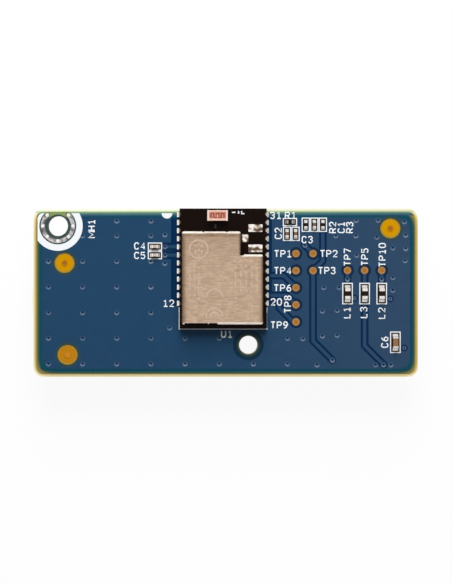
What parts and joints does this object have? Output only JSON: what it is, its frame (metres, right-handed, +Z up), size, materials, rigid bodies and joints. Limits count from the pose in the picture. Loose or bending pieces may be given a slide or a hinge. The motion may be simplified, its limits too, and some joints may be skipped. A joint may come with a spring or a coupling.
{
  "type": "radio daughter card",
  "caption": "Small blue circuit board with a shielded radio module, chip aerial, chip parts and test pads, and a socket below that plugs onto a host board.",
  "frame": {"origin": "under the middle of the board, on the plane of the socket's mating face", "axes": "+X along the board's length to the picture's right, +Y across it to the edge that the radio module is flush with, +Z up out of the component side"},
  "size_m": [0.0573, 0.025, 0.0085],
  "materials": {
    "laminate": "satin",
    "solder_mask": "semi-gloss",
    "white_ink": "matt",
    "copper": "satin",
    "plating": "satin",
    "gold_plating": "polished",
    "solder": "bright",
    "end_metal": "satin",
    "shield_metal": "satin",
    "module_laminate": "satin",
    "chip_mould": "matt",
    "resistor_body": "satin",
    "capacitor_body": "satin",
    "ferrite": "satin",
    "aerial_ceramic": "satin",
    "socket_plastic": "satin"
  },
  "bodies": {
    "root": {"board": "laminate", "solder_mask_top": "solder_mask", "solder_mask_under": "solder_mask", "white_ink": "white_ink", "test_pads": "copper", "fiducial_marks": "copper", "mounting_ring": "plating", "ring_solder": "solder", "chip_lands": "copper", "chip_solder": "solder", "module_lands": "copper", "module_solder": "solder", "module_board": "module_laminate", "module_terminals": "gold_plating", "jack_lands": "solder", "shield_can": "shield_metal", "aerial_body": "aerial_ceramic", "aerial_ends": "end_metal", "radio_chip": "chip_mould", "radio_chip_leads": "end_metal", "radio_crystal": "end_metal", "sleep_crystal": "end_metal", "power_inductor": "ferrite", "inner_capacitors": "capacitor_body", "socket_housing": "socket_plastic", "socket_contacts": "gold_plating", "socket_lands": "copper", "socket_solder": "solder", "resistor_r1_body": "resistor_body", "resistor_r1_ends": "end_metal", "resistor_r2_body": "resistor_body", "resistor_r2_ends": "end_metal", "capacitor_c1_body": "capacitor_body", "capacitor_c1_ends": "end_metal", "resistor_r3_body": "resistor_body", "resistor_r3_ends": "end_metal", "capacitor_c2_body": "capacitor_body", "capacitor_c2_ends": "end_metal", "capacitor_c3_body": "capacitor_body", "capacitor_c3_ends": "end_metal", "capacitor_c4_body": "capacitor_body", "capacitor_c4_ends": "end_metal", "capacitor_c5_body": "capacitor_body", "capacitor_c5_ends": "end_metal", "bead_l1_body": "ferrite", "bead_l1_ends": "end_metal", "bead_l3_body": "ferrite", "bead_l3_ends": "end_metal", "bead_l2_body": "ferrite", "bead_l2_ends": "end_metal", "capacitor_c6_body": "capacitor_body", "capacitor_c6_ends": "end_metal"}
  },
  "joints": []
}
